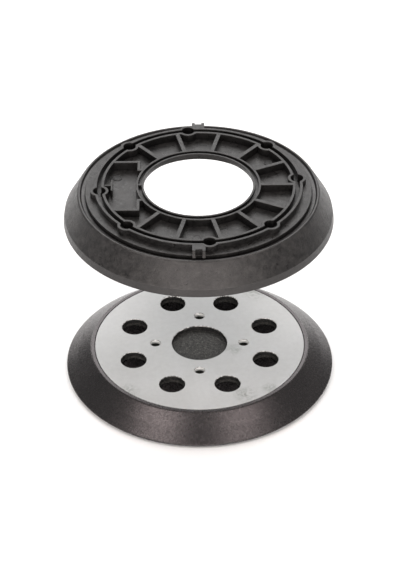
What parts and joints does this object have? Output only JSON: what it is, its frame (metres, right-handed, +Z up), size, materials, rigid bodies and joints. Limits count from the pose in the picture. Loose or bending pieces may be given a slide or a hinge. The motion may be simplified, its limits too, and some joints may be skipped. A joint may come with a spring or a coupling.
{
  "type": "orbital sander pad and dust shroud",
  "caption": "Round sanding pad with a perforated metal backing plate on a soft cone, and a ribbed ring-shaped dust shroud with a flared skirt that seats over it.",
  "frame": {"origin": "centre of the hook face, the lowest point of the pad", "axes": "+Z up along the common axis of the pad and the shroud; +Y towards one catch of the shroud, -Y towards the other; -X towards the wide bay in the shroud"},
  "size_m": [0.127, 0.127, 0.103],
  "materials": {
    "hook_fabric": "nylon hook pile",
    "pad_rubber": "matt moulded, scuffed",
    "core_fibre": "fibrous, scuffed",
    "plate_metal": "fine satin, slightly mottled",
    "frame_plastic": "fine moulded grain",
    "skirt_rubber": "matt, fine grain"
  },
  "bodies": {
    "pad": {"hook_disc": "hook_fabric", "pad_cushion": "pad_rubber", "core_disc": "core_fibre", "backing_plate": "plate_metal"},
    "shroud": {"shroud_frame": "frame_plastic", "shroud_skirt": "skirt_rubber"}
  },
  "joints": [
    {"name": "shroud_lift", "type": "slide", "parent": "pad", "child": "shroud", "axis": [0, 0, 1], "range_m": [-0.078, 0]}
  ]
}
